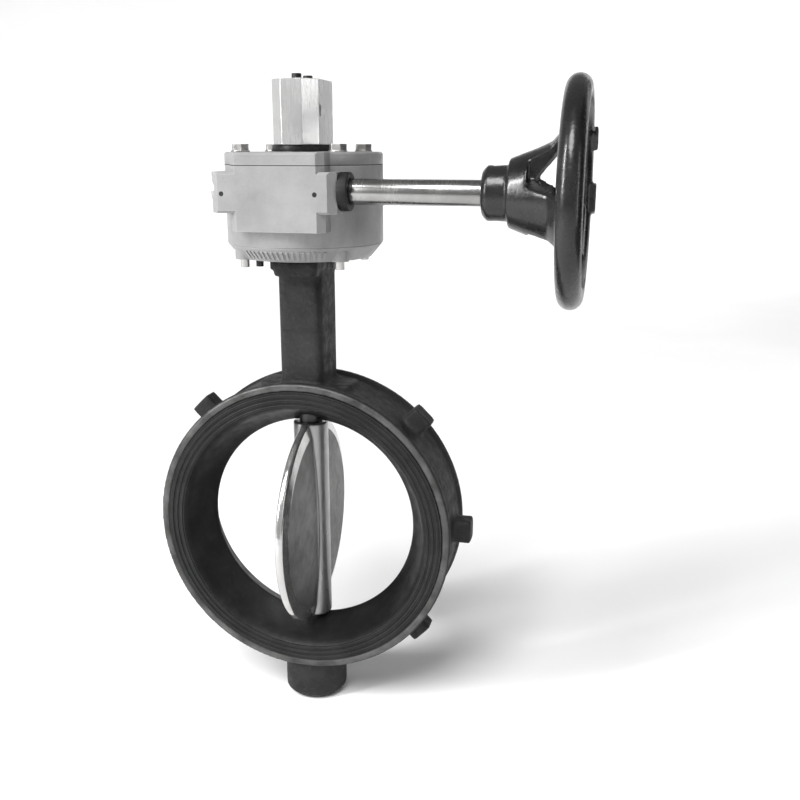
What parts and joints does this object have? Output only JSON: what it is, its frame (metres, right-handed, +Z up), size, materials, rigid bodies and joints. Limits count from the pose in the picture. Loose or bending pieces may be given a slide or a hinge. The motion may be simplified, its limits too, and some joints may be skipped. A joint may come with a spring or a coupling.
{
  "type": "butterfly valve",
  "caption": "Wafer butterfly valve with a rubber seat, a centred disc on a vertical stem, a worm gear operator, a dished handwheel and a position indicator.",
  "frame": {"origin": "centre of the bore, on the stem axis, midway between the two end faces", "axes": "+Z up the stem towards the gearbox, +Y along the pipe away from the worm, +X towards the handwheel"},
  "size_m": [0.3117, 0.188, 0.4511],
  "materials": {
    "cast_dark": "as-cast, dark coating",
    "cast_light": "satin grey enamel on a casting",
    "rubber": "matt black",
    "polished_steel": "ground and polished",
    "disc_metal": "coated casting with a machined edge",
    "bronze": "turned",
    "zinc_steel": "zinc plated",
    "black_steel": "black oxide",
    "wheel_paint": "semi-gloss black enamel",
    "pale_cap": "satin pale grey",
    "gasket": "matt black"
  },
  "bodies": {
    "root": {"valve_body": "cast_dark", "seat_liner": "rubber", "upper_neck_bushing": "bronze", "lower_neck_bushing": "bronze", "stem_seals": "rubber", "bottom_bushing": "bronze", "thrust_washer": "zinc_steel", "bottom_plug": "zinc_steel", "base_plate": "cast_light", "flange_screws": "black_steel", "base_screws": "black_steel", "gear_housing": "cast_light", "floor_bushing": "bronze", "cover_gasket": "gasket", "gearbox_cover": "cast_light", "cover_bushing": "bronze", "cover_washers": "zinc_steel", "cover_bolts": "zinc_steel", "worm_bearing_inner": "bronze", "worm_bearing_outer": "bronze", "shaft_seal": "rubber", "worm_end_cap": "zinc_steel", "stop_screws": "zinc_steel", "stop_locknuts": "zinc_steel", "front_screws": "black_steel"},
    "stem_group": {"stem": "polished_steel", "disc": "disc_metal", "disc_pins": "zinc_steel", "stem_key": "zinc_steel", "worm_wheel": "bronze", "indicator_base": "black_steel", "indicator_cap": "pale_cap", "indicator_screws": "black_steel"},
    "handwheel_group": {"input_shaft": "polished_steel", "worm": "polished_steel", "worm_pin": "zinc_steel", "handwheel": "wheel_paint", "handwheel_pin": "zinc_steel", "handwheel_washer": "zinc_steel", "handwheel_bolt": "zinc_steel"}
  },
  "joints": [
    {"name": "stem_turn", "type": "hinge", "parent": "root", "child": "stem_group", "pos_m": [0, 0, 0], "axis": [0, 0, 1], "range_deg": [-90, 0]},
    {"name": "handwheel_turn", "type": "hinge", "parent": "root", "child": "handwheel_group", "pos_m": [0, -0.044, 0.238], "axis": [1, 0, 0], "range_deg": [-3150, 0]}
  ],
  "couplings": [
    {"joint": "handwheel_turn", "follows": "stem_turn", "ratio": 35}
  ]
}
